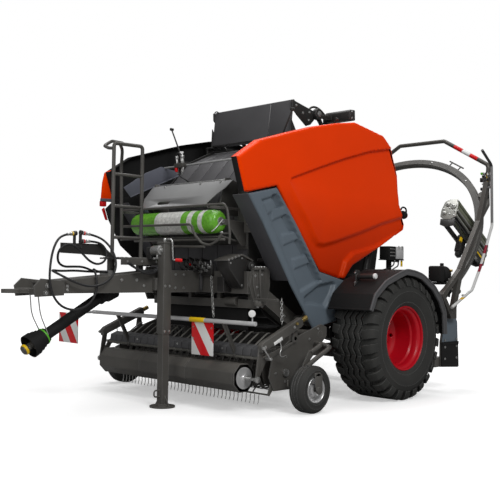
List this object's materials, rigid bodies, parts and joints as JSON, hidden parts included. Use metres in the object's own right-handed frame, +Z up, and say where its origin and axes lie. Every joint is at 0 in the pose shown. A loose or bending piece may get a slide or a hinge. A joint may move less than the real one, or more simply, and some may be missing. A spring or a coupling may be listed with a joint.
{
  "type": "towed round baler with ring wrapper",
  "caption": "Towed round baler with pickup reel, bale chamber with gull-wing side doors, lifting tailgate and a leaning ring wrapper with film dispensers.",
  "frame": {"origin": "on the floor under the middle of the bounding box", "axes": "-X towards the drawbar eye, -Y the machine's left side, +Z up"},
  "size_m": [5.9, 2.94, 2.895],
  "materials": {
    "orange_paint": "bright red-orange gloss paint",
    "guard_paint": "blue-grey satin paint",
    "frame_paint": "dark warm grey satin paint",
    "black_paint": "black satin paint",
    "dark_steel": "dark grey steel",
    "bare_steel": "zinc-plated steel",
    "rim_paint": "crimson red gloss paint",
    "silver_paint": "silver paint",
    "lid_paint": "mid-grey paint",
    "tyre_rubber": "black tyre rubber",
    "belt_rubber": "black ribbed belt rubber",
    "guard_plastic": "black ribbed plastic",
    "roll_wrap": "green and white plastic wrap",
    "box_plastic": "grey plastic case",
    "pole_paint": "light grey paint with dark red bands",
    "marker_paint": "grey steel and red and white boards",
    "film_roller": "aluminium and grey rollers",
    "coupler_metal": "plated steel with red and yellow dust caps",
    "hose_rubber": "black hose rubber"
  },
  "bodies": {
    "frame": {"chain_drives": "dark_steel", "chamber": "frame_paint", "chassis": "frame_paint", "control_box": "box_plastic", "couplers": "coupler_metal", "door_brackets": "frame_paint", "fender_left": "black_paint", "fender_right": "black_paint", "film_cutters": "dark_steel", "front_belts": "belt_rubber", "front_guard_left": "guard_paint", "front_guard_right": "guard_paint", "gearbox": "dark_steel", "hitch_eye": "frame_paint", "hose_1": "hose_rubber", "hose_2": "hose_rubber", "hose_3": "hose_rubber", "hose_glands": "bare_steel", "hose_holder": "black_paint", "jack_tube": "frame_paint", "ladder": "black_paint", "oil_unit": "dark_steel", "rear_lockers": "black_paint", "roll_holder": "frame_paint", "shaft_guard": "guard_plastic", "side_pole_left": "pole_paint", "side_pole_right": "pole_paint", "top_plate": "black_paint", "valve_block": "bare_steel", "wrapper_frame": "dark_steel"},
    "wheel_left": {"tyre_left": "tyre_rubber", "rim_left": "rim_paint"},
    "wheel_right": {"tyre_right": "tyre_rubber", "rim_right": "rim_paint"},
    "jack_leg": {"jack_leg": "frame_paint"},
    "drive_shaft": {"drive_shaft": "dark_steel"},
    "pickup": {"pickup_frame": "frame_paint"},
    "gauge_wheel_left": {"gauge_tyre_left": "tyre_rubber", "gauge_rim_left": "silver_paint"},
    "gauge_wheel_right": {"gauge_tyre_right": "tyre_rubber", "gauge_rim_right": "silver_paint"},
    "pickup_reel": {"pickup_reel": "dark_steel"},
    "wind_guard": {"wind_guard": "frame_paint", "roller_arms": "frame_paint", "marker_bar": "marker_paint"},
    "press_roller": {"press_roller": "dark_steel"},
    "door_left": {"side_door_left": "orange_paint"},
    "door_right": {"side_door_right": "orange_paint"},
    "tailgate": {"tailgate": "frame_paint", "gate_arms": "frame_paint"},
    "lift_barrel_left": {"lift_barrel_left": "black_paint"},
    "lift_barrel_right": {"lift_barrel_right": "black_paint"},
    "lift_rod_left": {"lift_rod_left": "bare_steel"},
    "lift_rod_right": {"lift_rod_right": "bare_steel"},
    "wrap_ring": {"dispenser_left": "film_roller", "dispenser_right": "film_roller", "wrap_ring": "dark_steel"},
    "wrapping_table": {"wrapping_table": "frame_paint"},
    "binding_roll": {"binding_roll": "roll_wrap"},
    "roll_lid": {"roll_lid": "lid_paint"}
  },
  "joints": [
    {"name": "wheel_left_spin", "type": "hinge", "parent": "frame", "child": "wheel_left", "pos_m": [0.45, -1.22, 0.585], "axis": [0, 1, 0], "continuous": true},
    {"name": "wheel_right_spin", "type": "hinge", "parent": "frame", "child": "wheel_right", "pos_m": [0.45, 1.22, 0.585], "axis": [0, 1, 0], "continuous": true},
    {"name": "jack_slide", "type": "slide", "parent": "frame", "child": "jack_leg", "axis": [0, 0, 1], "range_m": [0, 0.35]},
    {"name": "drive_shaft_spin", "type": "hinge", "parent": "frame", "child": "drive_shaft", "pos_m": [-2.732, 0, 0.559], "axis": [0.8669, 0, 0.4985], "continuous": true},
    {"name": "pickup_lift", "type": "hinge", "parent": "frame", "child": "pickup", "pos_m": [-0.38, 0, 0.64], "axis": [0, 1, 0], "range_deg": [0, 10]},
    {"name": "gauge_wheel_left_spin", "type": "hinge", "parent": "pickup", "child": "gauge_wheel_left", "pos_m": [-0.772, -1.29, 0.203], "axis": [0, 1, 0], "continuous": true},
    {"name": "gauge_wheel_right_spin", "type": "hinge", "parent": "pickup", "child": "gauge_wheel_right", "pos_m": [-0.772, 1.29, 0.203], "axis": [0, 1, 0], "continuous": true},
    {"name": "pickup_reel_spin", "type": "hinge", "parent": "pickup", "child": "pickup_reel", "pos_m": [-0.85, 0, 0.33], "axis": [0, 1, 0], "continuous": true},
    {"name": "wind_guard_lift", "type": "hinge", "parent": "pickup", "child": "wind_guard", "pos_m": [-0.75, 0, 0.62], "axis": [0, 1, 0], "range_deg": [0, 5]},
    {"name": "press_roller_spin", "type": "hinge", "parent": "wind_guard", "child": "press_roller", "pos_m": [-1.23, 0, 0.3], "axis": [0, 1, 0], "continuous": true},
    {"name": "door_left_hinge", "type": "hinge", "parent": "frame", "child": "door_left", "pos_m": [-0.15, -0.85, 2.69], "axis": [-1, 0, 0], "range_deg": [0, 80]},
    {"name": "door_right_hinge", "type": "hinge", "parent": "frame", "child": "door_right", "pos_m": [-0.15, 0.85, 2.69], "axis": [1, 0, 0], "range_deg": [0, 80]},
    {"name": "tailgate_hinge", "type": "hinge", "parent": "frame", "child": "tailgate", "pos_m": [0.35, 0, 2.44], "axis": [0, -1, 0], "range_deg": [0, 70]},
    {"name": "lift_barrel_left_swing", "type": "hinge", "parent": "frame", "child": "lift_barrel_left", "pos_m": [0.57, -0.735, 0.56], "axis": [0, -1, 0], "range_deg": [-2, 7]},
    {"name": "lift_rod_left_stroke", "type": "slide", "parent": "lift_barrel_left", "child": "lift_rod_left", "axis": [0.2593, 0, 0.9658], "range_m": [0, 0.81]},
    {"name": "lift_barrel_right_swing", "type": "hinge", "parent": "frame", "child": "lift_barrel_right", "pos_m": [0.57, 0.735, 0.56], "axis": [0, -1, 0], "range_deg": [-2, 7]},
    {"name": "lift_rod_right_stroke", "type": "slide", "parent": "lift_barrel_right", "child": "lift_rod_right", "axis": [0.2593, 0, 0.9658], "range_m": [0, 0.81]},
    {"name": "wrap_ring_spin", "type": "hinge", "parent": "frame", "child": "wrap_ring", "pos_m": [2.009, 0, 1.514], "axis": [0.8396, 0, -0.5432], "continuous": true},
    {"name": "wrapping_table_tip", "type": "hinge", "parent": "frame", "child": "wrapping_table", "pos_m": [1.06, 0, 1.045], "axis": [0, 1, 0], "range_deg": [0, 20]},
    {"name": "binding_roll_spin", "type": "hinge", "parent": "frame", "child": "binding_roll", "pos_m": [-1.19, 0, 1.635], "axis": [0, 1, 0], "continuous": true},
    {"name": "roll_lid_hinge", "type": "hinge", "parent": "frame", "child": "roll_lid", "pos_m": [-1.03, 0, 2.022], "axis": [0, 1, 0], "range_deg": [0, 75]}
  ]
}
